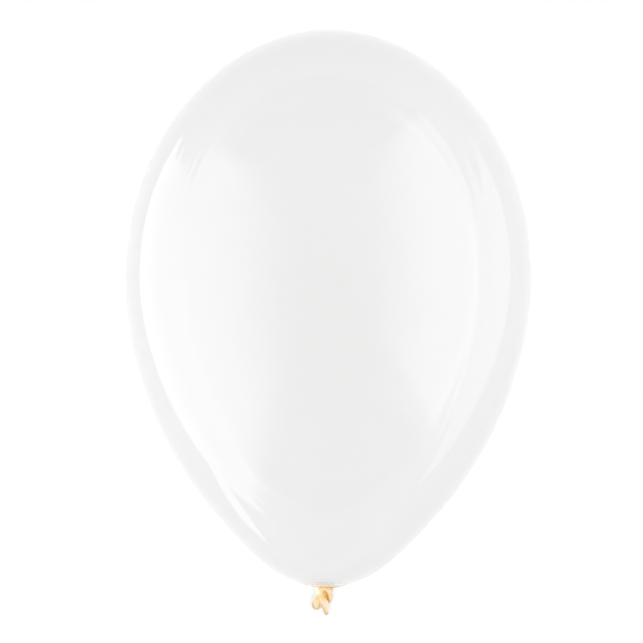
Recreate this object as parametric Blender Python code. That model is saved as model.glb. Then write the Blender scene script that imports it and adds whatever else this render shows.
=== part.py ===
"""Clear latex party balloon, blown up, tied in a knot and lying on its side.

The balloon is one piece of latex, so it is one solid: a turned body that runs into a gathered neck,
the knot's loop, and the two lobes of the mouth that stick out of the knot. It is sealed, so it has no
cavity here. Everything is modelled upright in the balloon's own frame (X across, +Y towards the
crown, +Z towards the viewer) and then laid down on the small flat spot that keeps it from rolling.
"""

import math

import bmesh
import bpy
from mathutils import Matrix, Vector

# Body sizes, in metres
BODY_WIDTH = 0.300
BODY_LENGTH = 0.413  # from the crown to where the skin gathers into the neck
NECK_MOUTH_RADIUS = 0.0096  # of the body where it gathers into the neck
REST_SPOT_WIDTH = 0.044  # across the flat spot that it lies on

# Form of the body's outline, as shares of its length or radius and as angles from its axis
WIDEST_AT = 0.449
CROWN_FULLNESS = 0.475
UPPER_FULLNESS = 0.623
LOWER_FULLNESS = 0.334
SHOULDER_AT = 0.870
SHOULDER_WIDTH = 0.543
SHOULDER_PULL_UP = 0.364
SHOULDER_PULL_DOWN = 1.006
SHOULDER_SLOPE = math.radians(41.8)
NECK_PULL = 0.516
NECK_SLOPE = math.radians(74.3)

# Neck: the gathered skin that runs down behind the knot's loop
NECK_LENGTH = 0.0085
NECK_WIDTH = 0.0126
NECK_DEPTH = 0.0086
NECK_LEFT = 0.0012  # its centre, left of the axis
NECK_LENGTH_SHARES = (-0.15, 0.2, 0.5, 0.75, 1.0)
NECK_WIDTH_SHARES = (1.10, 1.03, 0.98, 0.86, 0.5)

# Loop: the turn of stretched neck that is the knot
LOOP_WIDTH = 0.0106
LOOP_HEIGHT = 0.0160
LOOP_STRAND_WIDTH = 0.0041
LOOP_STRAND_DEPTH = 0.0036
LOOP_TOP_SWELL = 0.2  # how much wider than its mean the strand is at the top
LOOP_RIGHT = 0.0006  # its centre, right of the axis
LOOP_DOWN = 0.0060  # its centre, below the end of the body
LOOP_FORWARD = 0.0026  # its centre, in front of the axis
LOOP_TURN = math.radians(-16.0)  # about the axis, so that the loop's hole faces left
LOOP_NOD = math.radians(30.0)  # downwards, so that the hole faces the mouth

# Mouth: the neck's open end, drawn out through the loop and folded flat into a long and a short lobe
LONG_LOBE_ROOT_LEFT = 0.0036  # left of the axis
LONG_LOBE_LENGTH = 0.0153  # down to its tip
LONG_LOBE_TIP_RIGHT = 0.0013  # right of the axis
LONG_LOBE_LEAN = math.radians(30.0)  # at its root, to the right of straight down
LONG_LOBE_WIDTHS = (0.0042, 0.0056, 0.0019)  # at its root, its middle and its tip
LONG_LOBE_FORWARD = 0.0008  # in front of the short lobe
SHORT_LOBE_ROOT_LEFT = 0.0046
SHORT_LOBE_LENGTH = 0.0112
SHORT_LOBE_TIP_LEFT = 0.0064
SHORT_LOBE_LEAN = math.radians(-22.0)
SHORT_LOBE_WIDTHS = (0.0044, 0.0066, 0.0062)
LOBE_ROOT_DOWN = 0.0053  # below the end of the body
LOBE_THICKNESS = 0.0022
LOBE_RISE = 0.0026  # how far it arches towards the viewer
BEAD_WIDTH = 0.0014  # the rolled edge of the mouth
BEAD_HEIGHT = 0.0028

# Facets
BODY_SIDES = 64
CROWN_STEPS = 15
BELLY_STEPS = 14
SHOULDER_STEPS = 9
FINE_STEPS = 300  # for working out the centre of mass and the resting tilt
STRAND_SIDES = 12
LOOP_STEPS = 26
LOBE_STEPS = 14
BEAD_STEPS = 8
BEAD_SIDES = 8
LOBE_ARCH_START = 0.15  # of half a turn, where a lobe's arch begins
LOBE_ARCH_SPAN = 0.75
LOBE_END_ROUNDING = 0.96  # short of 1, so that the end closes on a small flat and not on a line
LONG_BEAD_START = 0.45  # as a share of its lobe's length
SHORT_BEAD_START = 0.55
BEAD_RUN_IN = 2.5  # steps in which a bead grows to its full size
MERGE_DISTANCE = 1e-6

LATEX_COLOUR = (0.93, 0.93, 0.91, 1.0)
LATEX_ROUGHNESS = 0.18
LATEX_ALPHA = 0.35

LONG_LOBE = {
    "root": (-LONG_LOBE_ROOT_LEFT, LOBE_ROOT_DOWN),
    "tip": (LONG_LOBE_TIP_RIGHT, LOBE_ROOT_DOWN + LONG_LOBE_LENGTH),
    "lean": LONG_LOBE_LEAN,
    "widths": LONG_LOBE_WIDTHS,
    "forward": LONG_LOBE_FORWARD,
}
SHORT_LOBE = {
    "root": (-SHORT_LOBE_ROOT_LEFT, LOBE_ROOT_DOWN),
    "tip": (-SHORT_LOBE_TIP_LEFT, LOBE_ROOT_DOWN + SHORT_LOBE_LENGTH),
    "lean": SHORT_LOBE_LEAN,
    "widths": SHORT_LOBE_WIDTHS,
    "forward": 0.0,
}
body_radius = BODY_WIDTH / 2
ACROSS, TO_CROWN, TO_VIEWER = Vector((1, 0, 0)), Vector((0, 1, 0)), Vector((0, 0, 1))


def clear_scene():
    for obj in list(bpy.data.objects):
        bpy.data.objects.remove(obj, do_unlink=True)


def bezier(start, pull_start, pull_end, end, steps):
    """(station, radius) points along a cubic curve, with its first point and without its last."""
    points = []
    for i in range(steps):
        t = i / steps
        weights = ((1 - t) ** 3, 3 * (1 - t) ** 2 * t, 3 * (1 - t) * t * t, t**3)
        corners = (start, pull_start, pull_end, end)
        points.append(tuple(sum(w * c[k] for w, c in zip(weights, corners)) for k in (0, 1)))
    return points


def body_outline(crown_steps, belly_steps, shoulder_steps):
    """The body's outline from the crown to the neck, as (distance from the crown, radius)."""
    crown = (0.0, 0.0)
    widest = (WIDEST_AT * BODY_LENGTH, body_radius)
    shoulder = (SHOULDER_AT * BODY_LENGTH, SHOULDER_WIDTH * body_radius)
    neck = (BODY_LENGTH, NECK_MOUTH_RADIUS)
    belly = shoulder[0] - widest[0]
    foot = neck[0] - shoulder[0]

    def along(point, slope, distance):
        return (point[0] + distance * math.cos(slope), point[1] - distance * math.sin(slope))

    return (
        bezier(
            crown,
            (0.0, CROWN_FULLNESS * body_radius),
            (widest[0] * (1 - UPPER_FULLNESS), body_radius),
            widest,
            crown_steps,
        )
        + bezier(
            widest,
            (widest[0] + LOWER_FULLNESS * belly, body_radius),
            along(shoulder, SHOULDER_SLOPE, -SHOULDER_PULL_UP * belly),
            shoulder,
            belly_steps,
        )
        + bezier(
            shoulder,
            along(shoulder, SHOULDER_SLOPE, SHOULDER_PULL_DOWN * foot),
            along(neck, NECK_SLOPE, -NECK_PULL * foot),
            neck,
            shoulder_steps,
        )
        + [neck]
    )


def resting_place():
    """(centre of mass's station, contact's station, contact's distance from the centre of mass).

    A round body comes to rest on the point of its outline that is nearest to its centre of mass.
    """
    outline = body_outline(FINE_STEPS, FINE_STEPS, FINE_STEPS)
    volume = moment = 0.0
    for (s0, r0), (s1, r1) in zip(outline, outline[1:]):
        slice_volume = (s1 - s0) * (r0 * r0 + r0 * r1 + r1 * r1) / 3
        volume += slice_volume
        moment += slice_volume * (s0 + s1) / 2
    centre = moment / volume
    belly = [p for p in outline if p[1] > body_radius / 2]
    contact = min(belly, key=lambda p: math.hypot(p[0] - centre, p[1]))
    return centre, contact[0], math.hypot(contact[0] - centre, contact[1])


def mesh_object(name, bm):
    """A linked object with this bmesh as its mesh, shaded smooth."""
    bmesh.ops.recalc_face_normals(bm, faces=bm.faces)
    mesh = bpy.data.meshes.new(name)
    bm.to_mesh(mesh)
    bm.free()
    mesh.shade_smooth()
    obj = bpy.data.objects.new(name, mesh)
    bpy.context.scene.collection.objects.link(obj)
    return obj


def make_body(tilt, contact_station, contact_radius, rest_depth):
    """The turned body, with a core that ends inside the knot, and the flat spot cut off its side."""
    outline = body_outline(CROWN_STEPS, BELLY_STEPS, SHOULDER_STEPS)
    core_radius = NECK_WIDTH / 4
    core_end = BODY_LENGTH + NECK_LENGTH / 2
    outline += [(BODY_LENGTH + NECK_LENGTH / 8, core_radius), (core_end, core_radius), (core_end, 0.0)]
    bm = bmesh.new()
    verts = [bm.verts.new((radius, -station, 0.0)) for station, radius in outline]
    edges = [bm.edges.new(pair) for pair in zip(verts, verts[1:])]
    bmesh.ops.spin(
        bm,
        geom=verts + edges,
        cent=(0, 0, 0),
        axis=TO_CROWN,
        angle=2 * math.pi,
        steps=BODY_SIDES,
        use_merge=True,
    )
    bmesh.ops.remove_doubles(bm, verts=bm.verts, dist=MERGE_DISTANCE)
    down = Vector((0, -math.sin(tilt), -math.cos(tilt)))
    lowest = Vector((0, -contact_station, -contact_radius))
    cut = bmesh.ops.bisect_plane(
        bm,
        geom=bm.verts[:] + bm.edges[:] + bm.faces[:],
        dist=MERGE_DISTANCE,
        plane_co=lowest - down * rest_depth,
        plane_no=down,
        clear_outer=True,
    )
    rim = [e for e in cut["geom_cut"] if isinstance(e, bmesh.types.BMEdge)]
    bmesh.ops.contextual_create(bm, geom=rim)
    return mesh_object("balloon", bm)


def sections(bm, stations, sides):
    """One ring of points for each (centre, across, forward) station; the last two are half sizes."""
    rings = []
    for centre, across, forward in stations:
        ring = []
        for k in range(sides):
            turn = 2 * math.pi * k / sides
            ring.append(bm.verts.new(centre + across * math.cos(turn) + forward * math.sin(turn)))
        rings.append(ring)
    return rings


def skin_rings(bm, rings, closed):
    """Faces between neighbouring rings, and caps on the two ends unless the rings close on themselves."""
    following = rings[1:] + rings[:1] if closed else rings[1:]
    for ring, after in zip(rings, following):
        for k in range(len(ring)):
            n = (k + 1) % len(ring)
            bm.faces.new((ring[k], ring[n], after[n], after[k]))
    if not closed:
        bm.faces.new(rings[0][::-1])
        bm.faces.new(rings[-1])


def knot_point(across, down, forward):
    """A point given from where the body gathers into the neck."""
    return Vector((across, -BODY_LENGTH - down, forward))


def make_neck():
    """The gathered skin that narrows from the body's end and passes behind the loop."""
    bm = bmesh.new()
    stations = []
    for down, wide in zip(NECK_LENGTH_SHARES, NECK_WIDTH_SHARES):
        centre = knot_point(-NECK_LEFT, down * NECK_LENGTH, 0.0)
        stations.append((centre, ACROSS * wide * NECK_WIDTH / 2, TO_VIEWER * wide * NECK_DEPTH / 2))
    skin_rings(bm, sections(bm, stations, STRAND_SIDES), closed=False)
    return mesh_object("neck_form", bm)


def make_loop():
    """The turn of neck round the knot's core, as an oval ring whose strand is widest at the top."""
    centre_width = (LOOP_WIDTH - LOOP_STRAND_WIDTH) / 2
    centre_height = (LOOP_HEIGHT - LOOP_STRAND_WIDTH) / 2
    bm = bmesh.new()
    stations = []
    for k in range(LOOP_STEPS):
        turn = 2 * math.pi * k / LOOP_STEPS
        centre = Vector((centre_width * math.cos(turn), centre_height * math.sin(turn), 0.0))
        strand = LOOP_STRAND_WIDTH / 2 * (1 + LOOP_TOP_SWELL * math.sin(turn))
        stations.append((centre, centre.normalized() * strand, TO_VIEWER * LOOP_STRAND_DEPTH / 2))
    skin_rings(bm, sections(bm, stations, STRAND_SIDES), closed=True)
    tipped = Matrix.Rotation(LOOP_TURN, 4, "Y") @ Matrix.Rotation(LOOP_NOD, 4, "X")
    placed = Matrix.Translation(knot_point(LOOP_RIGHT, LOOP_DOWN, LOOP_FORWARD))
    bmesh.ops.transform(bm, matrix=placed @ tipped, verts=bm.verts)
    return mesh_object("loop_form", bm)


def quadratic(start, pull, end, share):
    """A number along a quadratic curve."""
    return (1 - share) ** 2 * start + 2 * (1 - share) * share * pull + share**2 * end


def lobe_station(lobe, share):
    """(centre, half its width sideways) of a lobe, at a share of its way from root to tip."""
    root, tip = lobe["root"], lobe["tip"]
    length = tip[1] - root[1]
    pull = (root[0] + math.tan(lobe["lean"]) * length / 2, root[1] + length / 2)
    across, down = (quadratic(root[k], pull[k], tip[k], share) for k in (0, 1))
    heading = math.atan2(
        (1 - share) * (pull[0] - root[0]) + share * (tip[0] - pull[0]),
        (1 - share) * (pull[1] - root[1]) + share * (tip[1] - pull[1]),
    )
    aside = Vector((math.cos(heading), math.sin(heading), 0.0))
    root_width, middle_width, tip_width = lobe["widths"]
    width = quadratic(root_width, 2 * middle_width - (root_width + tip_width) / 2, tip_width, share)
    arch = LOBE_RISE * math.sin(math.pi * min(1.0, LOBE_ARCH_START + share * LOBE_ARCH_SPAN))
    end = width / 2 / length
    rounding = max(0.0, (share - 1 + end) / end) * LOBE_END_ROUNDING
    centre = knot_point(across, down, arch + lobe["forward"])
    return centre, aside * width / 2 * math.sqrt(1 - rounding**2)


def make_lobe(name, lobe):
    """One flat lobe of the mouth, springing from behind the loop and round at its free end."""
    bm = bmesh.new()
    stations = []
    for k in range(LOBE_STEPS + 1):
        centre, half_width = lobe_station(lobe, k / LOBE_STEPS)
        stations.append((centre, half_width, TO_VIEWER * LOBE_THICKNESS / 2))
    skin_rings(bm, sections(bm, stations, STRAND_SIDES), closed=False)
    return mesh_object(name, bm)


def make_bead(name, lobe, start, turns_end):
    """The mouth's rolled edge, down the left side of a lobe and, if it turns the end, up the right."""
    eased = [math.sin(math.pi / 2 * k / BEAD_STEPS) for k in range(BEAD_STEPS + 1)]
    side = [lobe_station(lobe, start + (1 - start) * share) for share in eased]
    points = [centre - half_width for centre, half_width in side]
    if turns_end:
        points += [centre + half_width for centre, half_width in side[::-1]]
    bm = bmesh.new()
    stations = []
    for k, point in enumerate(points):
        before = points[max(k - 1, 0)]
        after = points[min(k + 1, len(points) - 1)]
        outwards = (after - before).cross(TO_VIEWER).normalized()
        steps_in = min(k, len(points) - 1 - k) if turns_end else k
        grown = min(1.0, (steps_in + 1) / BEAD_RUN_IN)
        stations.append((point, outwards * grown * BEAD_WIDTH / 2, TO_VIEWER * grown * BEAD_HEIGHT / 2))
    skin_rings(bm, sections(bm, stations, BEAD_SIDES), closed=False)
    return mesh_object(name, bm)


def join(obj, helper):
    """Joins a helper form into the balloon, and hides the helper."""
    union = obj.modifiers.new(helper.name, "BOOLEAN")
    union.operation = "UNION"
    union.solver = "EXACT"
    union.object = helper
    helper.hide_render = True
    helper.display_type = "WIRE"


def latex():
    material = bpy.data.materials.new("clear_latex")
    material.use_nodes = True
    shader = material.node_tree.nodes["Principled BSDF"]
    shader.inputs["Base Color"].default_value = LATEX_COLOUR
    shader.inputs["Roughness"].default_value = LATEX_ROUGHNESS
    shader.inputs["Metallic"].default_value = 0.0
    shader.inputs["Alpha"].default_value = LATEX_ALPHA
    return material


def build():
    clear_scene()
    centre_station, contact_station, contact_distance = resting_place()
    tilt = math.asin((contact_station - centre_station) / contact_distance)
    contact_radius = contact_distance * math.cos(tilt)
    half_spot = REST_SPOT_WIDTH / 2
    rest_depth = contact_distance - math.sqrt(contact_distance**2 - half_spot**2)

    balloon = make_body(tilt, contact_station, contact_radius, rest_depth)
    helpers = [
        make_neck(),
        make_loop(),
        make_lobe("long_lobe_form", LONG_LOBE),
        make_lobe("short_lobe_form", SHORT_LOBE),
        make_bead("long_bead_form", LONG_LOBE, LONG_BEAD_START, turns_end=False),
        make_bead("short_bead_form", SHORT_LOBE, SHORT_BEAD_START, turns_end=True),
    ]
    for helper in helpers:
        join(balloon, helper)
    balloon.data.materials.append(latex())

    lying = Matrix.Rotation(tilt, 4, "X")
    lowest = lying @ Vector((0, -contact_station, -contact_radius))
    pose = Matrix.Translation(-lowest - Vector((0, 0, rest_depth))) @ lying
    for obj in [balloon] + helpers:
        obj.matrix_world = pose


build()
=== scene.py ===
"""Looks of a clear latex party balloon that lies on its side on a pale studio floor.

The balloon is one skin of latex. Its mesh is built in the balloon's own frame (X across, +Y towards the
crown, +Z towards the viewer), from the same sizes as the solid that it stands for, and then laid down.
"""

import math

import bmesh
import bpy
import numpy as np
from mathutils import Matrix, Vector
from mathutils.bvhtree import BVHTree
from mathutils.noise import noise


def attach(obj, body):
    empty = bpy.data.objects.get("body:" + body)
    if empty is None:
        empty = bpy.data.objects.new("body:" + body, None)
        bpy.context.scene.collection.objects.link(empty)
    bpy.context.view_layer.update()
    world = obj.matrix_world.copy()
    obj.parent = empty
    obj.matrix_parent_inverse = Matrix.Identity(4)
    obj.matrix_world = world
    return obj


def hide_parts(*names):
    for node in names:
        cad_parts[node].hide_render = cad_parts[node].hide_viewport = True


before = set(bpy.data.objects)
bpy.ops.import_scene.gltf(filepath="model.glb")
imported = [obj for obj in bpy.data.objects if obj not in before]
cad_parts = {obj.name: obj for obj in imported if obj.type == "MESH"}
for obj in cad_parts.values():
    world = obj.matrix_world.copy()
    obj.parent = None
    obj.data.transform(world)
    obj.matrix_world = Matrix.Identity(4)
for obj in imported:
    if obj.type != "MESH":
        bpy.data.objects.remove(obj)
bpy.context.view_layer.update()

# Body, in metres
BODY_WIDTH = 0.300
BODY_LENGTH = 0.413
NECK_MOUTH_RADIUS = 0.0096
REST_SPOT_WIDTH = 0.044
REST_SPOT_EASE = 0.0010  # how softly the skin leaves the floor round the spot it lies on

# Form of the body's outline, as shares of its length or radius and as angles from its axis
WIDEST_AT = 0.449
CROWN_FULLNESS = 0.475
UPPER_FULLNESS = 0.623
LOWER_FULLNESS = 0.334
SHOULDER_AT = 0.870
SHOULDER_SHARE = 0.543
SHOULDER_PULL_UP = 0.364
SHOULDER_PULL_DOWN = 1.006
SHOULDER_SLOPE = math.radians(41.8)
NECK_PULL = 0.516
NECK_SLOPE = math.radians(74.3)

# Neck
NECK_LENGTH = 0.0085
NECK_WIDTH = 0.0126
NECK_DEPTH = 0.0086
NECK_LEFT = 0.0012
NECK_STATIONS = ((-0.22, 1.34), (-0.1, 1.16), (0.2, 1.03), (0.5, 0.98), (0.75, 0.86), (1.0, 0.5))

# Loop
LOOP_WIDTH = 0.0106
LOOP_HEIGHT = 0.0160
LOOP_STRAND_WIDTH = 0.0041
LOOP_STRAND_DEPTH = 0.0036
LOOP_TOP_SWELL = 0.2
LOOP_RIGHT = 0.0006
LOOP_DOWN = 0.0060
LOOP_FORWARD = 0.0026
LOOP_TURN = math.radians(-16.0)
LOOP_NOD = math.radians(30.0)

# Core of the knot, seen through the loop
CORE_OFFSET = Vector((0.0004, 0.0, -0.0022))
CORE_HALVES = (0.0034, 0.0052, 0.0022)
CORE_END_CUT = 0.02

# Mouth
LONG_LOBE_ROOT_LEFT = 0.0036
LONG_LOBE_LENGTH = 0.0153
LONG_LOBE_TIP_RIGHT = 0.0013
LONG_LOBE_LEAN = math.radians(30.0)
LONG_LOBE_WIDTHS = (0.0042, 0.0056, 0.0019)
LONG_LOBE_FORWARD = 0.0008
SHORT_LOBE_ROOT_LEFT = 0.0046
SHORT_LOBE_LENGTH = 0.0112
SHORT_LOBE_TIP_LEFT = 0.0064
SHORT_LOBE_LEAN = math.radians(-22.0)
SHORT_LOBE_WIDTHS = (0.0044, 0.0066, 0.0062)
LOBE_ROOT_DOWN = 0.0053
LOBE_THICKNESS = 0.0021
LOBE_RISE = 0.0026
LOBE_ARCH_START = 0.15
LOBE_ARCH_SPAN = 0.75
LOBE_END_ROUNDING = 0.985
BEAD_WIDTH = 0.0013
BEAD_HEIGHT = 0.0027
LONG_BEAD_START = 0.45
SHORT_BEAD_START = 0.55

# Folds of the gathered skin
PLEATS = 17
PLEAT_HEIGHT = 0.00022
PLEAT_REACH = 0.012  # how far from the neck's edge the pleats die away on the body
PLEAT_FADE_POWER = 1.2
PLEAT_UNEVENNESS = 0.9
PLEAT_NOISE_SCALE = 1.3
PLEAT_NOISE_PLANE = 4.2
PLEAT_DRIFT = 0.35
PLEAT_MEAN_DEPTH = 0.7
PLEAT_DEPTH_SPREAD = 0.6
NECK_FOLD_SHARE = 0.055
NECK_FOLD_LEAN = 2.0
NECK_FOLD_MEAN = 0.6
NECK_FOLD_SPREAD = 0.5
NECK_DEEP_SIDES = 3
CORE_FOLDS = 6
CORE_FOLD_SHARE = 0.05
LOBE_FOLDS = 5
LOBE_FOLD_SHARE = 0.10
STRAND_FOLDS = 5
STRAND_FOLD_HEIGHT = 0.00016
STRAND_TWIST = 1.5  # how many folds they move on by, once round the loop

# Mesh
BODY_SIDES = 256
CROWN_STEPS = 62
BELLY_STEPS = 56
SHOULDER_STEPS = 52
FINE_STEPS = 300
FORM_SIDES = 40
FORM_STEPS = 64
BEAD_SIDES = 14
VOXEL = 0.00024
SOFTEN_FACTOR = 0.5
SOFTEN_ROUNDS = 4

# Photograph's frame: 643 pixels each way, with the balloon's axis running from crown to neck
IMAGE_SIDE = 643
WIDTH_IN_PIXELS = 404.7
CROWN_PIXEL = (331.0, 29.6)
NECK_PIXEL = (325.5, 586.8)
CAMERA_DISTANCE = 10.0
SENSOR = 0.036
VIEW_DEPTH = 200.0

# Finish of the stretched skin
SKIN_ALPHA = 0.20
SKIN_IOR = 1.6
SKIN_ROUGHNESS = (0.05, 0.11)
SKIN_COLOUR_LOW = (0.572, 0.567, 0.545, 1)
SKIN_COLOUR_HIGH = (0.597, 0.592, 0.570, 1)
SKIN_RAMP = ((0.3, SKIN_COLOUR_LOW), (0.7, SKIN_COLOUR_HIGH))
HAZE_SCALE = 9.0
HAZE_DETAIL = 3.0
GRAIN_SCALE = 40.0
GRAIN_DETAIL = 1.0
GRAIN_STRENGTH = 0.012
GRAIN_HEIGHT = 0.0005

# Finish of the gathered skin, which is thicker and yellower
NECK_HAZE_REACH = 0.009
NECK_HAZE_END = 0.045
NECK_CLEAR_BELOW = 0.25
KNOT_FROM = 0.7
KNOT_ALPHA = 0.97
KNOT_ROUGHNESS = 0.26
MOTTLE_SCALE = 1900.0
MOTTLE_DETAIL = 3.0
MOTTLE_CONTRAST = 0.44
NECK_TINT = (0.86, 0.79, 0.66, 1)
# Painted highlight: the pale colour of the strip down the neck's left side
NECK_HIGHLIGHT_COLOUR = (0.86, 0.77, 0.68, 1)
# Knot colours from lit to shaded, set by the painted shade of the folds; the amber is partly the thick
# latex's own colour
KNOT_LIT = (0.67, 0.57, 0.41, 1)
KNOT_CREAM = (0.65, 0.45, 0.19, 1)
KNOT_AMBER_SHADE = (0.6, 0.28, 0.045, 1)
KNOT_SHADE_RAMP = ((0.02, KNOT_LIT), (0.26, KNOT_CREAM), (0.6, KNOT_AMBER_SHADE))
BEAD_COLOUR = (0.50, 0.33, 0.13, 1)
TIP_COLOUR = (0.36, 0.29, 0.15, 1)

# Painted shade in the knot's folds, found by how many of the looks out from the skin meet other skin
KNOT_STARTS = 0.001
SHADE_LOOKS = 40
SHADE_REACH = 0.012
SHADE_LIFT = 0.00015
SHADE_MIN_FACING = 0.1

# Places on the knot with a colour of their own, painted shade in the loop's hole and a painted highlight
# down the neck's left side: its share, and the distances between which it fades
HOLE_SHADE_SHARE = 0.5
HOLE_SHADE_FADE = (0.0022, 0.0044)
TIP_SHARE = 0.9
TIP_FADE = (0.0010, 0.0040)
BEAD_SHARE = 0.65
BEAD_FADE = (0.0009, 0.0019)
NECK_HIGHLIGHT_SHARE = 0.7
NECK_HIGHLIGHT_ACROSS = (-0.0072, -0.0033)
NECK_HIGHLIGHT_IN = (-0.0004, 0.0014)
NECK_HIGHLIGHT_OUT = (0.0050, 0.0090)

# Floor
FLOOR_RADIUS = 60.0
FLOOR_SIDES = 96
FLOOR_CLEARANCE = 0.0004
FLOOR_COLOUR = (0.32, 0.32, 0.32, 1)
FLOOR_GLOW = 0.497
FLOOR_ROUGHNESS = 0.9
FLOOR_SPECULAR = 0.1

# Lights: tops are a standing panel's heads, in degrees from straight up, and reaches run along Y
PANEL_COLOUR = (0.93, 0.94, 1.0)
PANEL_DISTANCE = 2.4
PANEL_FOOT = 0.01
FLOOR_PANEL_HEIGHT = 0.003
LEFT_RADIANCE = 2.15
LEFT_EDGE_RADIANCE = 2.9
LEFT_LEAN = 0.10
LEFT_TOPS = (30, 36, 42, 48, 55, 62)
LEFT_REACHES = ((-3.4, 2.1), (-2.2, 1.7))
LEFT_FLOOR_BANDS = (
    (0.33, 0.46, LEFT_EDGE_RADIANCE),
    (0.46, 0.62, 2.45),
    (0.62, 0.80, LEFT_RADIANCE),
    (0.80, 1.20, LEFT_RADIANCE),
    (1.20, PANEL_DISTANCE, LEFT_RADIANCE),
)
LEFT_BAND_REACH = ((-0.04, -1.5), (0.12, 0.42))
LEFT_LOW_BAND = (0.19, 0.33)
LEFT_LOW_REACH = (-0.38, -0.30)
LEFT_BACK_HEIGHT = 2.2
LEFT_BACK_REACH = (-3.2, 1.9)
RIGHT_RADIANCE = 1.85
RIGHT_NEAR_RADIANCE = 1.45
RIGHT_FAR_RADIANCE = 1.15
RIGHT_LEAN = 0.15
RIGHT_TOPS = (24, 30, 36, 42, 48, 54)
RIGHT_REACHES = ((-1.9, 3.2), (-1.7, 2.8))
RIGHT_NEAR_BAND = (0.42, 0.85)
RIGHT_NEAR_REACH = (-0.50, 0.35)
RIGHT_FAR_REACH = (-0.70, 0.65)
KEY_STRENGTH = 3.0
KEY_ANGLE = math.radians(3)
SKY_LOW = (0.25, 0.25, 0.25, 1)
SKY_HIGH = (0.16, 0.16, 0.16, 1)
SKY_RAMP = ((0.0, SKY_LOW), (0.5, SKY_HIGH))

ACROSS, TO_CROWN, TO_VIEWER = Vector((1, 0, 0)), Vector((0, 1, 0)), Vector((0, 0, 1))
body_radius = BODY_WIDTH / 2

LONG_LOBE = {
    "root": (-LONG_LOBE_ROOT_LEFT, LOBE_ROOT_DOWN),
    "tip": (LONG_LOBE_TIP_RIGHT, LOBE_ROOT_DOWN + LONG_LOBE_LENGTH),
    "lean": LONG_LOBE_LEAN,
    "widths": LONG_LOBE_WIDTHS,
    "forward": LONG_LOBE_FORWARD,
}
SHORT_LOBE = {
    "root": (-SHORT_LOBE_ROOT_LEFT, LOBE_ROOT_DOWN),
    "tip": (-SHORT_LOBE_TIP_LEFT, LOBE_ROOT_DOWN + SHORT_LOBE_LENGTH),
    "lean": SHORT_LOBE_LEAN,
    "widths": SHORT_LOBE_WIDTHS,
    "forward": 0.0,
}


def bezier(start, pull_start, pull_end, end, steps):
    """(station, radius) points along a cubic curve, with its first point and without its last."""
    points = []
    for i in range(steps):
        t = i / steps
        weights = ((1 - t) ** 3, 3 * (1 - t) ** 2 * t, 3 * (1 - t) * t * t, t**3)
        corners = (start, pull_start, pull_end, end)
        points.append(tuple(sum(w * c[k] for w, c in zip(weights, corners)) for k in (0, 1)))
    return points


def body_outline(crown_steps, belly_steps, shoulder_steps):
    """The body's outline from the crown to the neck, as (distance from the crown, radius)."""
    widest = (WIDEST_AT * BODY_LENGTH, body_radius)
    shoulder = (SHOULDER_AT * BODY_LENGTH, SHOULDER_SHARE * body_radius)
    neck = (BODY_LENGTH, NECK_MOUTH_RADIUS)
    belly = shoulder[0] - widest[0]
    foot = neck[0] - shoulder[0]

    def along(point, slope, distance):
        return (point[0] + distance * math.cos(slope), point[1] - distance * math.sin(slope))

    crown_pull = (0.0, CROWN_FULLNESS * body_radius)
    upper_pull = (widest[0] * (1 - UPPER_FULLNESS), body_radius)
    lower_pull = (widest[0] + LOWER_FULLNESS * belly, body_radius)
    shoulder_pull = along(shoulder, SHOULDER_SLOPE, -SHOULDER_PULL_UP * belly)
    foot_pull = along(shoulder, SHOULDER_SLOPE, SHOULDER_PULL_DOWN * foot)
    neck_pull = along(neck, NECK_SLOPE, -NECK_PULL * foot)
    return (
        bezier((0.0, 0.0), crown_pull, upper_pull, widest, crown_steps)
        + bezier(widest, lower_pull, shoulder_pull, shoulder, belly_steps)
        + bezier(shoulder, foot_pull, neck_pull, neck, shoulder_steps)
        + [neck]
    )


def lying_pose():
    """The matrix that lays the balloon down on the point of its outline nearest to its centre of mass."""
    outline = body_outline(FINE_STEPS, FINE_STEPS, FINE_STEPS)
    volume = moment = 0.0
    for (s0, r0), (s1, r1) in zip(outline, outline[1:]):
        slice_volume = (s1 - s0) * (r0 * r0 + r0 * r1 + r1 * r1) / 3
        volume += slice_volume
        moment += slice_volume * (s0 + s1) / 2
    centre = moment / volume
    belly = [p for p in outline if p[1] > body_radius / 2]
    contact = min(belly, key=lambda p: math.hypot(p[0] - centre, p[1]))
    reach = math.hypot(contact[0] - centre, contact[1])
    rest_depth = reach - math.sqrt(reach**2 - (REST_SPOT_WIDTH / 2) ** 2)
    lying = Matrix.Rotation(math.asin((contact[0] - centre) / reach), 4, "X")
    lowest = lying @ Vector((0, -contact[0], -contact[1]))
    return Matrix.Translation(-lowest - Vector((0, 0, rest_depth))) @ lying


def ease(low, high, value):
    """0 below low, 1 above high, and smooth between."""
    t = min(1.0, max(0.0, (value - low) / (high - low)))
    return t * t * (3 - 2 * t)


def mesh_object(name, bm):
    """A smooth-shaded object of the scene, made from a bmesh that ends here."""
    bmesh.ops.recalc_face_normals(bm, faces=bm.faces)
    mesh = bpy.data.meshes.new(name)
    bm.to_mesh(mesh)
    bm.free()
    mesh.shade_smooth()
    obj = bpy.data.objects.new(name, mesh)
    bpy.context.scene.collection.objects.link(obj)
    return obj


def skin_rings(bm, rings, closed):
    """Faces between neighbouring rings, and caps on the two ends unless the rings close on themselves."""
    following = rings[1:] + rings[:1] if closed else rings[1:]
    for ring, after in zip(rings, following):
        for k in range(len(ring)):
            n = (k + 1) % len(ring)
            bm.faces.new((ring[k], ring[n], after[n], after[k]))
    if not closed:
        bm.faces.new(rings[0][::-1])
        bm.faces.new(rings[-1])


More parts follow.
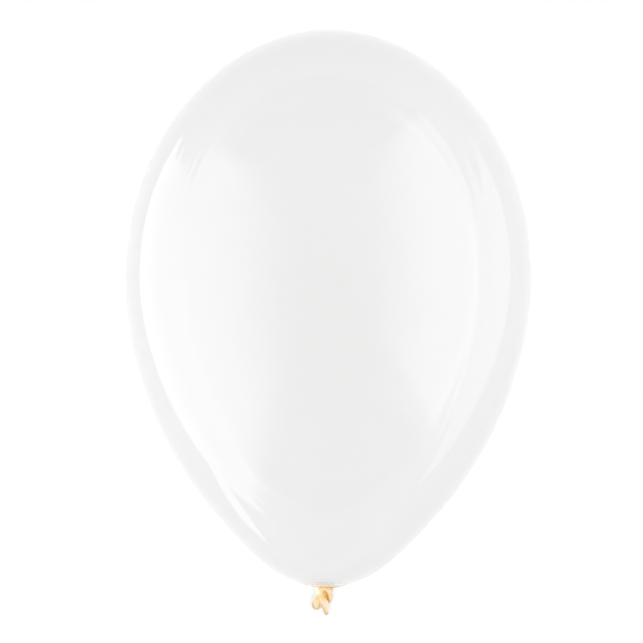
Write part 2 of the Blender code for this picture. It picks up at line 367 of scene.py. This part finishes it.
def form(name, stations, sides=FORM_SIDES, closed=False, folds=None):
    """A swept form with an oval section at each (centre, half width, half depth) station.

    folds(share, turn) gives how much the skin stands out there, as a share of the section's size.
    """
    bm = bmesh.new()
    rings = []
    for index, (centre, across, forward) in enumerate(stations):
        share = index / len(stations)
        ring = []
        for k in range(sides):
            turn = 2 * math.pi * k / sides
            swell = 1 + folds(share, turn) if folds else 1
            point = centre + (across * math.cos(turn) + forward * math.sin(turn)) * swell
            ring.append(bm.verts.new(point))
        rings.append(ring)
    skin_rings(bm, rings, closed)
    return mesh_object(name, bm)


def knot_point(across, down, forward):
    """A point given from where the body gathers into the neck."""
    return Vector((across, -BODY_LENGTH - down, forward))


def make_body():
    """The turned body, pleated where it gathers, closed by a small hub inside the neck."""
    outline = body_outline(CROWN_STEPS, BELLY_STEPS, SHOULDER_STEPS)
    hub_radius = NECK_WIDTH / 4
    outline += [(BODY_LENGTH + NECK_LENGTH / 8, hub_radius), (BODY_LENGTH + NECK_LENGTH / 2, hub_radius)]
    bm = bmesh.new()
    crown = bm.verts.new((0, 0, 0))
    rings = []
    for station, radius in outline[1:]:
        ring = []
        beyond_neck = max(0.0, radius - NECK_MOUTH_RADIUS)
        fade = math.exp(-((beyond_neck / PLEAT_REACH) ** PLEAT_FADE_POWER))
        fade *= ease(hub_radius, NECK_MOUTH_RADIUS, radius)
        if station < BODY_LENGTH / 2:
            fade = 0.0
        for k in range(BODY_SIDES):
            turn = 2 * math.pi * k / BODY_SIDES
            across, forward = math.cos(turn) * PLEAT_NOISE_SCALE, math.sin(turn) * PLEAT_NOISE_SCALE
            uneven = PLEAT_UNEVENNESS * noise(Vector((across, forward, PLEAT_NOISE_PLANE)))
            depth = PLEAT_MEAN_DEPTH + PLEAT_DEPTH_SPREAD * uneven
            fold = math.sin(PLEATS * (turn + uneven * PLEAT_DRIFT)) * depth
            lift = PLEAT_HEIGHT * fade * fold
            ring.append(bm.verts.new((radius * math.cos(turn), -station - lift, radius * math.sin(turn))))
        rings.append(ring)
    for k in range(BODY_SIDES):
        bm.faces.new((crown, rings[0][k], rings[0][(k + 1) % BODY_SIDES]))
    for ring, after in zip(rings, rings[1:]):
        for k in range(BODY_SIDES):
            n = (k + 1) % BODY_SIDES
            bm.faces.new((ring[k], after[k], after[n], ring[n]))
    bm.faces.new(rings[-1])
    return mesh_object("balloon_skin", bm)


def make_neck():
    """The gathered skin of the neck, flared where it springs from the body, with lengthwise folds."""
    stations = []
    for step in range(FORM_STEPS + 1):
        share = step / FORM_STEPS * (len(NECK_STATIONS) - 1)
        index = min(int(share), len(NECK_STATIONS) - 2)
        blend = share - index
        (down0, wide0), (down1, wide1) = NECK_STATIONS[index], NECK_STATIONS[index + 1]
        down = down0 + (down1 - down0) * blend
        wide = wide0 + (wide1 - wide0) * blend
        centre = knot_point(-NECK_LEFT, down * NECK_LENGTH, 0.0)
        stations.append((centre, ACROSS * wide * NECK_WIDTH / 2, TO_VIEWER * wide * NECK_DEPTH / 2))

    def folds(share, turn):
        depth = NECK_FOLD_MEAN + NECK_FOLD_SPREAD * math.sin(NECK_DEEP_SIDES * turn + 1)
        return NECK_FOLD_SHARE * math.sin(PLEATS * turn + NECK_FOLD_LEAN * share) * depth

    return form("neck_form", stations, folds=folds)


def make_loop():
    """The turn of neck round the knot's core, with folds that run round with the strand."""
    centre_width = (LOOP_WIDTH - LOOP_STRAND_WIDTH) / 2
    centre_height = (LOOP_HEIGHT - LOOP_STRAND_WIDTH) / 2
    tipped = Matrix.Rotation(LOOP_TURN, 4, "Y") @ Matrix.Rotation(LOOP_NOD, 4, "X")
    placed = Matrix.Translation(knot_point(LOOP_RIGHT, LOOP_DOWN, LOOP_FORWARD)) @ tipped
    turned = placed.to_3x3()
    stations = []
    for k in range(FORM_STEPS * 2):
        turn = math.pi * k / FORM_STEPS
        centre = Vector((centre_width * math.cos(turn), centre_height * math.sin(turn), 0.0))
        strand = LOOP_STRAND_WIDTH / 2 * (1 + LOOP_TOP_SWELL * math.sin(turn))
        across = turned @ (centre.normalized() * strand)
        stations.append((placed @ centre, across, turned @ (TO_VIEWER * LOOP_STRAND_DEPTH / 2)))

    def folds(share, turn):
        ridge = math.sin(STRAND_FOLDS * turn + 2 * math.pi * STRAND_TWIST * share)
        return STRAND_FOLD_HEIGHT / (LOOP_STRAND_WIDTH / 2) * ridge

    return form("loop_form", stations, closed=True, folds=folds)


def make_core():
    """The swelling of rolled skin inside the loop."""
    centre = knot_point(LOOP_RIGHT, LOOP_DOWN, LOOP_FORWARD) + CORE_OFFSET
    half_width, half_height, half_depth = CORE_HALVES
    stations = []
    for k in range(FORM_STEPS + 1):
        turn = math.pi * (CORE_END_CUT + (1 - 2 * CORE_END_CUT) * k / FORM_STEPS)
        place = centre + TO_CROWN * half_height * math.cos(turn)
        swell = math.sin(turn)
        stations.append((place, ACROSS * half_width * swell, TO_VIEWER * half_depth * swell))

    def folds(share, turn):
        return CORE_FOLD_SHARE * math.sin(CORE_FOLDS * turn + 4 * math.pi * share)

    return form("core_form", stations, folds=folds)


def quadratic(start, pull, end, share):
    """A number along a quadratic curve."""
    return (1 - share) ** 2 * start + 2 * (1 - share) * share * pull + share**2 * end


def lobe_station(lobe, share):
    """(centre, half its width sideways) of a lobe, at a share of its way from root to tip."""
    root, tip = lobe["root"], lobe["tip"]
    length = tip[1] - root[1]
    pull = (root[0] + math.tan(lobe["lean"]) * length / 2, root[1] + length / 2)
    across, down = (quadratic(root[k], pull[k], tip[k], share) for k in (0, 1))
    heading = math.atan2(
        (1 - share) * (pull[0] - root[0]) + share * (tip[0] - pull[0]),
        (1 - share) * (pull[1] - root[1]) + share * (tip[1] - pull[1]),
    )
    aside = Vector((math.cos(heading), math.sin(heading), 0.0))
    root_width, middle_width, tip_width = lobe["widths"]
    width = quadratic(root_width, 2 * middle_width - (root_width + tip_width) / 2, tip_width, share)
    arch = LOBE_RISE * math.sin(math.pi * min(1.0, LOBE_ARCH_START + share * LOBE_ARCH_SPAN))
    end = width / 2 / length
    rounding = max(0.0, (share - 1 + end) / end) * LOBE_END_ROUNDING
    centre = knot_point(across, down, arch + lobe["forward"])
    return centre, aside * width / 2 * math.sqrt(1 - rounding**2)


def make_lobe(name, lobe):
    """One flat lobe of the mouth, springing from behind the loop, with faint lengthwise folds."""
    stations = []
    for k in range(FORM_STEPS + 1):
        share = math.sin(math.pi / 2 * k / FORM_STEPS)
        centre, half_width = lobe_station(lobe, share)
        stations.append((centre, half_width, TO_VIEWER * LOBE_THICKNESS / 2))

    def folds(share, turn):
        ridge = math.sin(LOBE_FOLDS * math.cos(turn) * math.pi + 2 * share)
        return LOBE_FOLD_SHARE * ridge * abs(math.sin(turn))

    return form(name, stations, folds=folds)


def bead_line(lobe, start, turns_end):
    """Points along the mouth's rolled edge: down a lobe's left side, and up its right if it turns."""
    half = FORM_STEPS // 2
    eased = [math.sin(math.pi / 2 * k / half) for k in range(half + 1)]
    side = [lobe_station(lobe, start + (1 - start) * share) for share in eased]
    points = [centre - half_width for centre, half_width in side]
    if turns_end:
        points += [centre + half_width for centre, half_width in side[::-1]]
    return points


def make_bead(name, lobe, start, turns_end):
    """The rolled edge itself, which swells up from nothing where it begins."""
    points = bead_line(lobe, start, turns_end)
    run_in = FORM_STEPS / 6
    stations = []
    for k, point in enumerate(points):
        before = points[max(k - 1, 0)]
        after = points[min(k + 1, len(points) - 1)]
        outwards = (after - before).cross(TO_VIEWER).normalized()
        steps_in = min(k, len(points) - 1 - k) if turns_end else k
        grown = math.sqrt(min(1.0, (steps_in + 0.5) / run_in))
        stations.append((point, outwards * grown * BEAD_WIDTH / 2, TO_VIEWER * grown * BEAD_HEIGHT / 2))
    return form(name, stations, sides=BEAD_SIDES)


def apply_modifiers(obj):
    """Replaces an object's mesh by what its modifiers make of it."""
    evaluated = obj.evaluated_get(bpy.context.evaluated_depsgraph_get())
    mesh = bpy.data.meshes.new_from_object(evaluated)
    obj.modifiers.clear()
    old = obj.data
    obj.data = mesh
    bpy.data.meshes.remove(old)


def fuse(forms):
    """Joins overlapping closed forms into one soft mesh and removes the forms."""
    bm = bmesh.new()
    for obj in forms:
        bm.from_mesh(obj.data)
        bpy.data.objects.remove(obj)
    knot = mesh_object("knot_form", bm)
    remesh = knot.modifiers.new("fuse", "REMESH")
    remesh.mode = "VOXEL"
    remesh.voxel_size = VOXEL
    smooth = knot.modifiers.new("soften", "SMOOTH")
    smooth.factor = SOFTEN_FACTOR
    smooth.iterations = SOFTEN_ROUNDS
    apply_modifiers(knot)
    return knot


def make_balloon():
    """The whole skin as one closed mesh."""
    balloon = make_body()
    knot = fuse(
        [
            make_neck(),
            make_loop(),
            make_core(),
            make_lobe("long_lobe_form", LONG_LOBE),
            make_lobe("short_lobe_form", SHORT_LOBE),
            make_bead("long_bead_form", LONG_LOBE, LONG_BEAD_START, turns_end=False),
            make_bead("short_bead_form", SHORT_LOBE, SHORT_BEAD_START, turns_end=True),
        ]
    )
    union = balloon.modifiers.new("knot", "BOOLEAN")
    union.operation = "UNION"
    union.solver = "EXACT"
    union.object = knot
    apply_modifiers(balloon)
    bpy.data.objects.remove(knot)
    balloon.data.shade_smooth()
    return balloon


def mark_skin(balloon):
    """Vertex values for the finish: how gathered it is, painted shade in its folds and the loop's hole, how
    near the tip and the bead it is, and a painted highlight down the neck's left side.
    """
    mesh = balloon.data
    count = len(mesh.vertices)
    gathered = np.zeros(count, np.float32)
    crease_shade = np.zeros(count, np.float32)
    tipped = np.zeros(count, np.float32)
    rolled = np.zeros(count, np.float32)
    neck_highlight = np.zeros(count, np.float32)
    tree = BVHTree.FromPolygons([v.co for v in mesh.vertices], [p.vertices for p in mesh.polygons])
    looks = [Vector(d).normalized() for d in fibonacci_directions(SHADE_LOOKS)]
    tip = knot_point(*LONG_LOBE["tip"], LONG_LOBE_FORWARD)
    hole = knot_point(LOOP_RIGHT, LOOP_DOWN, LOOP_FORWARD) + CORE_OFFSET
    bead = bead_line(LONG_LOBE, LONG_BEAD_START, False) + bead_line(SHORT_LOBE, SHORT_BEAD_START, True)
    for vert in mesh.vertices:
        down = -vert.co.y - BODY_LENGTH
        radius = math.hypot(vert.co.x, vert.co.z)
        distance = max(0.0, radius - NECK_MOUTH_RADIUS)
        haze = math.exp(-distance / NECK_HAZE_REACH)
        haze *= 1 - ease(NECK_HAZE_END / 2, NECK_HAZE_END, distance)
        on_neck_side = down > -BODY_LENGTH / 2
        gathered[vert.index] = 1.0 if down > KNOT_STARTS else haze * on_neck_side
        if down < -KNOT_STARTS / 2:
            continue
        # Painted shade: the share of looks out from the skin that meet other skin, plus more in the loop's
        # hole
        start = vert.co + vert.normal * SHADE_LIFT
        facing = [d for d in looks if d.dot(vert.normal) > SHADE_MIN_FACING]
        blocked = sum(1 for d in facing if tree.ray_cast(start, d, SHADE_REACH)[0] is not None)
        # Painted shade, darker amber, in the loop's hole round the core
        inside = HOLE_SHADE_SHARE * (1 - ease(*HOLE_SHADE_FADE, (vert.co - hole).length))
        crease_shade[vert.index] = blocked / max(1, len(facing)) + inside
        tipped[vert.index] = TIP_SHARE * (1 - ease(*TIP_FADE, (vert.co - tip).length))
        # Painted highlight: a pale strip down the neck's left side, fading across it and along the neck
        beside = (1 - ease(*NECK_HIGHLIGHT_ACROSS, vert.co.x)) * ease(*NECK_HIGHLIGHT_IN, down)
        neck_highlight[vert.index] = NECK_HIGHLIGHT_SHARE * beside * (1 - ease(*NECK_HIGHLIGHT_OUT, down))
        bead_distance = min((vert.co - point).length for point in bead)
        rolled[vert.index] = BEAD_SHARE * (1 - ease(*BEAD_FADE, bead_distance))
    names = ("gathered", "crease_shade", "tipped", "rolled", "neck_highlight")
    for name, values in zip(names, (gathered, crease_shade, tipped, rolled, neck_highlight)):
        attribute = mesh.attributes.new(name, "FLOAT", "POINT")
        attribute.data.foreach_set("value", values)
    for face in mesh.polygons:
        face.material_index = int(any(gathered[v] > 0 for v in face.vertices))


def fibonacci_directions(count):
    """Directions spread evenly over a sphere."""
    golden = math.pi * (3 - math.sqrt(5))
    for k in range(count):
        height = 1 - (k + 0.5) * 2 / count
        ring = math.sqrt(1 - height * height)
        yield (ring * math.cos(golden * k), ring * math.sin(golden * k), height)


def lay_down(balloon, pose):
    """Puts the balloon in its resting place, with the skin flattened where it meets the floor."""
    balloon.data.transform(pose)
    for vert in balloon.data.vertices:
        height = max(vert.co.z, -REST_SPOT_EASE)
        if height < REST_SPOT_EASE:
            vert.co.z = (height + REST_SPOT_EASE) ** 2 / (4 * REST_SPOT_EASE)


class Nodes:
    """A short way to write a material's or the world's node tree."""

    def __init__(self, tree):
        self.tree = tree

    def add(self, kind, inputs=None, **settings):
        node = self.tree.nodes.new(kind)
        for key, value in settings.items():
            setattr(node, key, value)
        for key, value in (inputs or {}).items():
            if isinstance(value, bpy.types.NodeSocket):
                self.tree.links.new(value, node.inputs[key])
            else:
                node.inputs[key].default_value = value
        return node

    def noise(self, place, scale, detail):
        inputs = {"Vector": place, "Scale": scale, "Detail": detail}
        return self.add("ShaderNodeTexNoise", inputs).outputs["Fac"]

    def skin_value(self, name):
        return self.add("ShaderNodeAttribute", attribute_name=name).outputs["Fac"]

    def mix(self, factor, first, second):
        node = self.add("ShaderNodeMix", data_type="RGBA")
        for socket, value in zip((node.inputs[0], node.inputs[6], node.inputs[7]), (factor, first, second)):
            if isinstance(value, bpy.types.NodeSocket):
                self.tree.links.new(value, socket)
            else:
                socket.default_value = value
        return node.outputs[2]

    def ramp(self, value, stops):
        node = self.add("ShaderNodeValToRGB", {"Fac": value})
        elements = node.color_ramp.elements
        for index, (position, colour) in enumerate(stops):
            element = elements[index] if index < 2 else elements.new(position)
            element.position = position
            element.color = colour
        return node.outputs["Color"]


def new_material(name):
    """An empty material and the means to fill its node tree."""
    material = bpy.data.materials.new(name)
    material.use_nodes = True
    material.node_tree.nodes.clear()
    return material, Nodes(material.node_tree)


def skin_pattern(n):
    """What the clear and the gathered skin share: (colour, roughness, bump), each slightly uneven."""
    place = n.add("ShaderNodeTexCoord").outputs["Object"]
    haze = n.noise(place, HAZE_SCALE, HAZE_DETAIL)
    grain = n.noise(place, GRAIN_SCALE, GRAIN_DETAIL)
    colour = n.ramp(haze, SKIN_RAMP)
    smooth, dull = SKIN_ROUGHNESS
    roughness = n.add("ShaderNodeMapRange", {"Value": haze, "To Min": smooth, "To Max": dull}).outputs[0]
    relief = {"Height": grain, "Strength": GRAIN_STRENGTH, "Distance": GRAIN_HEIGHT}
    bump = n.add("ShaderNodeBump", relief).outputs[0]
    return colour, roughness, bump


def skin_shader(n, colour, roughness, bump, alpha):
    """The skin's shader. Alpha is a plain number, or a socket where it changes over the skin."""
    finish = {"Base Color": colour, "Roughness": roughness, "Normal": bump}
    shader = n.add("ShaderNodeBsdfPrincipled", finish)
    shader.inputs["IOR"].default_value = SKIN_IOR
    shader.inputs["Specular IOR Level"].default_value = 1.0
    if isinstance(alpha, float):
        shader.inputs["Alpha"].default_value = alpha
    else:
        n.tree.links.new(alpha, shader.inputs["Alpha"])
    n.add("ShaderNodeOutputMaterial", {"Surface": shader.outputs["BSDF"]})


def clear_material():
    """The stretched skin, see-through by one plain value."""
    material, n = new_material("clear_latex")
    colour, roughness, bump = skin_pattern(n)
    skin_shader(n, colour, roughness, bump, SKIN_ALPHA)
    return material


def gathered_material():
    """The thicker skin round the neck and knot: first as clear as the rest, then cream and amber, with
    painted shade in its folds and a painted highlight down the neck's left side.
    """
    material, n = new_material("gathered_latex")
    tone, sheen, bump = skin_pattern(n)
    place = n.add("ShaderNodeTexCoord").outputs["Object"]
    mottle = n.noise(place, MOTTLE_SCALE, MOTTLE_DETAIL)
    gathered, crease_shade, rolled = n.skin_value("gathered"), n.skin_value("crease_shade"), n.skin_value("rolled")
    tipped, neck_highlight = n.skin_value("tipped"), n.skin_value("neck_highlight")
    contrast = {0: mottle, 1: MOTTLE_CONTRAST, 2: -MOTTLE_CONTRAST / 2}
    stirred = n.add("ShaderNodeMath", contrast, operation="MULTIPLY_ADD").outputs[0]
    # Painted shade: the knot's colour runs from lit cream to shaded amber with the fold shade, stirred by
    # the mottle
    depth = n.add("ShaderNodeMath", {0: crease_shade, 1: stirred}, operation="ADD").outputs[0]
    knot = n.ramp(depth, KNOT_SHADE_RAMP)
    warm = n.add("ShaderNodeMapRange", {"Value": gathered, "From Max": KNOT_FROM}).outputs[0]
    near = n.add("ShaderNodeMapRange", {"Value": gathered, "From Min": KNOT_FROM}).outputs[0]
    tinted = n.mix(warm, tone, NECK_TINT)
    # Painted highlight down the neck's left side, laid over the knot's colour
    gathered_colour = n.mix(near, tinted, n.mix(neck_highlight, knot, NECK_HIGHLIGHT_COLOUR))
    beaded = n.mix(rolled, gathered_colour, BEAD_COLOUR)
    colour = n.mix(tipped, beaded, TIP_COLOUR)
    clouding = {"Value": gathered, "From Min": NECK_CLEAR_BELOW}
    clouding.update({"To Min": SKIN_ALPHA, "To Max": KNOT_ALPHA})
    alpha = n.add("ShaderNodeMapRange", clouding).outputs[0]
    dulling = {0: gathered, 1: KNOT_ROUGHNESS, 2: sheen}
    roughness = n.add("ShaderNodeMath", dulling, operation="MULTIPLY_ADD").outputs[0]
    skin_shader(n, colour, roughness, bump, alpha)
    return material


def make_floor():
    """A plain pale floor, which glows so that the clear skin is seen against an even ground."""
    bm = bmesh.new()
    bmesh.ops.create_circle(bm, cap_ends=True, segments=FLOOR_SIDES, radius=FLOOR_RADIUS)
    bmesh.ops.translate(bm, verts=bm.verts, vec=(0, 0, -FLOOR_CLEARANCE))
    floor = mesh_object("floor", bm)
    material = bpy.data.materials.new("pale_floor")
    material.use_nodes = True
    shader = material.node_tree.nodes["Principled BSDF"]
    shader.inputs["Base Color"].default_value = FLOOR_COLOUR
    shader.inputs["Emission Color"].default_value = (1, 1, 1, 1)
    shader.inputs["Emission Strength"].default_value = FLOOR_GLOW
    shader.inputs["Roughness"].default_value = FLOOR_ROUGHNESS
    shader.inputs["Specular IOR Level"].default_value = FLOOR_SPECULAR
    floor.data.materials.append(material)


def area_light(name, corners, radiance):
    """A rectangular panel: its low and high centre as (x, z), its reach along Y and the way it faces."""
    (x0, z0), (x1, z1), (y0, y1), facing = corners
    low, high = Vector((x0, 0, z0)), Vector((x1, 0, z1))
    up = (high - low).normalized()
    along = Vector((0, 1, 0))
    normal = along.cross(up)
    if normal.dot(Vector(facing)) < 0:
        normal = -normal
    light = bpy.data.lights.new(name, "AREA")
    light.shape = "RECTANGLE"
    light.size = y1 - y0
    light.size_y = (high - low).length
    area = light.size * light.size_y
    light.energy = radiance * math.pi * area
    light.color = PANEL_COLOUR
    obj = bpy.data.objects.new(name, light)
    z_axis = -normal
    x_axis = along
    y_axis = z_axis.cross(x_axis)
    rotation = Matrix((x_axis, y_axis, z_axis)).transposed()
    middle = (low + high) / 2 + along * (y0 + y1) / 2
    obj.matrix_world = Matrix.Translation(middle) @ rotation.to_4x4()
    bpy.context.scene.collection.objects.link(obj)
    return obj


def standing_panels(name, distance, lean, tops, reaches, radiance):
    """Overlapping panels from the floor up, each smaller than the last, so that their ends look soft."""
    side = math.copysign(1.0, distance)
    (low0, high0), (low1, high1) = reaches
    for index, top in enumerate(tops):
        share = index / (len(tops) - 1)
        height = abs(distance) / (math.tan(math.radians(top)) + lean)
        foot, head = (distance, PANEL_FOOT), (distance - side * lean * height, height)
        along = (low0 + (low1 - low0) * share, high0 + (high1 - high0) * share)
        area_light(f"{name}_{index}", (foot, head, along, (-side, 0, 0)), radiance / len(tops))


def floor_panel(name, side, band, reach, radiance):
    """A panel that lies on the floor on one side of the balloon and faces up."""
    near, far = ((side * distance, FLOOR_PANEL_HEIGHT) for distance in band)
    area_light(name, (near, far, reach, (0, 0, 1)), radiance)


def band_reach(distance):
    """Where a band of the left floor panel starts and ends along Y: the farther out, the longer."""
    return tuple(offset + slope * distance for offset, slope in LEFT_BAND_REACH)


def make_lights(pose):
    """Panels on both sides, which the skin reflects, a key light from the viewer and a pale sky."""
    for index, (near, far, radiance) in enumerate(LEFT_FLOOR_BANDS):
        floor_panel(f"left_floor_{index}", -1, (near, far), band_reach((near + far) / 2), radiance)
    floor_panel("left_floor_low", -1, LEFT_LOW_BAND, LEFT_LOW_REACH, LEFT_EDGE_RADIANCE)
    standing_panels("left_panel", -PANEL_DISTANCE, LEFT_LEAN, LEFT_TOPS, LEFT_REACHES, LEFT_RADIANCE)
    foot, head = (-PANEL_DISTANCE, PANEL_FOOT), (-PANEL_DISTANCE, LEFT_BACK_HEIGHT)
    area_light("left_back", (foot, head, LEFT_BACK_REACH, (-1, 0, 0)), LEFT_RADIANCE)
    floor_panel("right_floor", 1, RIGHT_NEAR_BAND, RIGHT_NEAR_REACH, RIGHT_NEAR_RADIANCE)
    far_band = (RIGHT_NEAR_BAND[1], PANEL_DISTANCE)
    floor_panel("right_floor_far", 1, far_band, RIGHT_FAR_REACH, RIGHT_FAR_RADIANCE)
    standing_panels("right_panel", PANEL_DISTANCE, RIGHT_LEAN, RIGHT_TOPS, RIGHT_REACHES, RIGHT_RADIANCE)
    key = bpy.data.lights.new("key", "SUN")
    key.energy = KEY_STRENGTH
    key.angle = KEY_ANGLE
    lamp = bpy.data.objects.new("key", key)
    lamp.matrix_world = pose.to_3x3().to_4x4()
    lamp.visible_glossy = False
    bpy.context.scene.collection.objects.link(lamp)
    world = bpy.data.worlds.new("studio")
    bpy.context.scene.world = world
    world.use_nodes = True
    world.node_tree.nodes.clear()
    n = Nodes(world.node_tree)
    direction = n.add("ShaderNodeTexCoord").outputs["Generated"]
    height = n.add("ShaderNodeSeparateXYZ", {"Vector": direction}).outputs["Z"]
    sky = n.ramp(height, SKY_RAMP)
    background = n.add("ShaderNodeBackground", {"Color": sky, "Strength": 1.0})
    n.add("ShaderNodeOutputWorld", {"Surface": background.outputs[0]})


def make_camera(pose):
    """Looks down on the balloon, square to its axis, and frames it as the photograph does."""
    metres_per_pixel = BODY_WIDTH / WIDTH_IN_PIXELS
    lean_x = CROWN_PIXEL[0] - NECK_PIXEL[0]
    lean = math.atan2(lean_x, NECK_PIXEL[1] - CROWN_PIXEL[1])
    middle = IMAGE_SIDE / 2
    station = (middle - CROWN_PIXEL[1]) * metres_per_pixel / math.cos(lean)
    axis_pixel = CROWN_PIXEL[0] - (middle - CROWN_PIXEL[1]) * math.tan(lean)
    target = Vector(((middle - axis_pixel) * metres_per_pixel, -station, 0.0))
    own = Matrix.Translation(target + TO_VIEWER * CAMERA_DISTANCE) @ Matrix.Rotation(lean, 4, "Z")
    data = bpy.data.cameras.new("camera")
    data.sensor_width = SENSOR * 1000
    data.lens = data.sensor_width * CAMERA_DISTANCE / (IMAGE_SIDE * metres_per_pixel)
    data.clip_end = VIEW_DEPTH
    camera = bpy.data.objects.new("camera", data)
    camera.matrix_world = pose @ own
    bpy.context.scene.collection.objects.link(camera)
    bpy.context.scene.camera = camera


pose = lying_pose()
make_camera(pose)
balloon = make_balloon()
balloon.data.materials.clear()
mark_skin(balloon)
lay_down(balloon, pose)
balloon.data.materials.append(clear_material())
balloon.data.materials.append(gathered_material())
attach(balloon, "root")
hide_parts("balloon")
make_floor()
make_lights(pose)
bpy.context.scene.view_settings.view_transform = "Standard"
